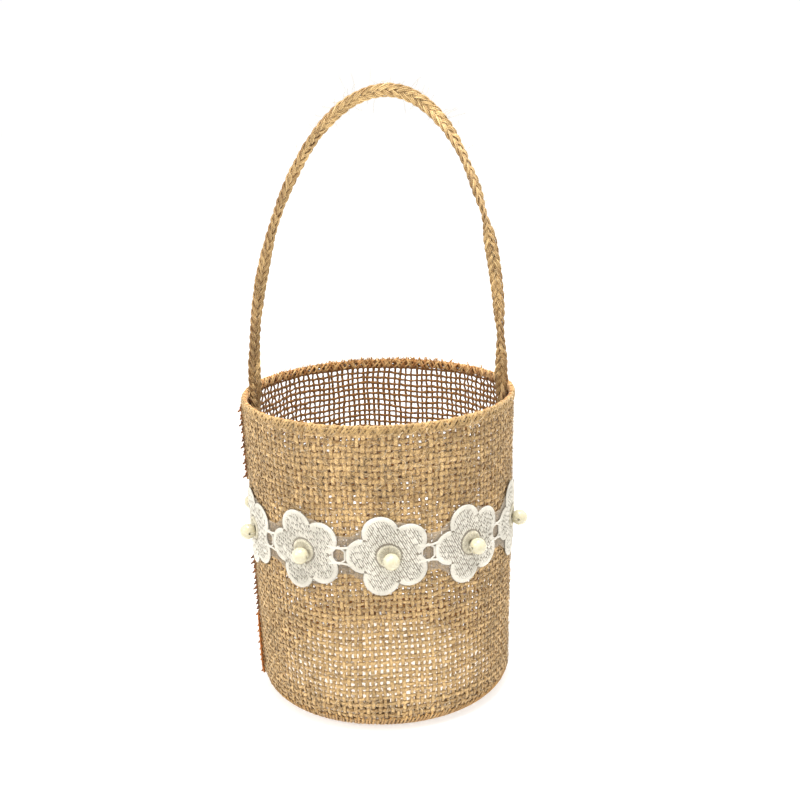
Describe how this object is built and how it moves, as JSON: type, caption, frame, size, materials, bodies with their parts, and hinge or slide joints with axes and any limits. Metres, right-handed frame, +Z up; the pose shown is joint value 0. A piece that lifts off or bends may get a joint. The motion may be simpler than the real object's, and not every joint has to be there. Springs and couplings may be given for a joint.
{
  "type": "flower girl basket",
  "caption": "Round pail of open jute mesh with a braided jute hoop handle and a band of daisy lace with pearls, for carrying petals.",
  "frame": {"origin": "middle of the underside, on the surface that the basket stands on", "axes": "+Z up along the basket's axis, -Y the front, +X to the right as the basket is seen from the front"},
  "size_m": [0.14, 0.1438, 0.2903],
  "materials": {
    "jute": "matte",
    "braid": "matte",
    "stitching": "matte",
    "seam_thread": "matte",
    "card": "matte",
    "net": "matte",
    "embroidery": "matte",
    "pearl": "gloss",
    "thread": "matte"
  },
  "bodies": {
    "basket": {"side_wall": "jute", "base_disc": "jute", "base_stiffener": "card", "rim_overlock": "stitching", "base_overlock": "stitching", "side_seam_lower": "jute", "side_seam_upper": "jute", "side_seam_thread_lower": "seam_thread", "side_seam_thread_upper": "seam_thread", "handle_tail_left": "braid", "handle_tail_right": "braid", "handle_tack_left": "thread", "handle_tack_right": "thread", "lace_net": "net", "lace_flower_01": "embroidery", "lace_flower_02": "embroidery", "lace_flower_03": "embroidery", "lace_flower_04": "embroidery", "lace_flower_05": "embroidery", "lace_flower_06": "embroidery", "lace_flower_07": "embroidery", "lace_flower_08": "embroidery", "lace_flower_09": "embroidery", "lace_flower_10": "embroidery", "lace_link_01": "embroidery", "lace_link_02": "embroidery", "lace_link_03": "embroidery", "lace_link_04": "embroidery", "lace_link_05": "embroidery", "lace_link_06": "embroidery", "lace_link_07": "embroidery", "lace_link_08": "embroidery", "lace_link_09": "embroidery", "lace_link_10": "embroidery", "pearl_01": "pearl", "pearl_02": "pearl", "pearl_03": "pearl", "pearl_04": "pearl", "pearl_05": "pearl", "pearl_06": "pearl", "pearl_07": "pearl", "pearl_08": "pearl", "pearl_09": "pearl", "pearl_10": "pearl", "pearl_thread_01": "thread", "pearl_thread_02": "thread", "pearl_thread_03": "thread", "pearl_thread_04": "thread", "pearl_thread_05": "thread", "pearl_thread_06": "thread", "pearl_thread_07": "thread", "pearl_thread_08": "thread", "pearl_thread_09": "thread", "pearl_thread_10": "thread"},
    "handle": {"handle_braid": "braid"}
  },
  "joints": [
    {"name": "handle_swing", "type": "hinge", "parent": "basket", "child": "handle", "pos_m": [0, 0.00843, 0.1505], "axis": [1, 0, 0], "range_deg": [-90, 90]}
  ]
}
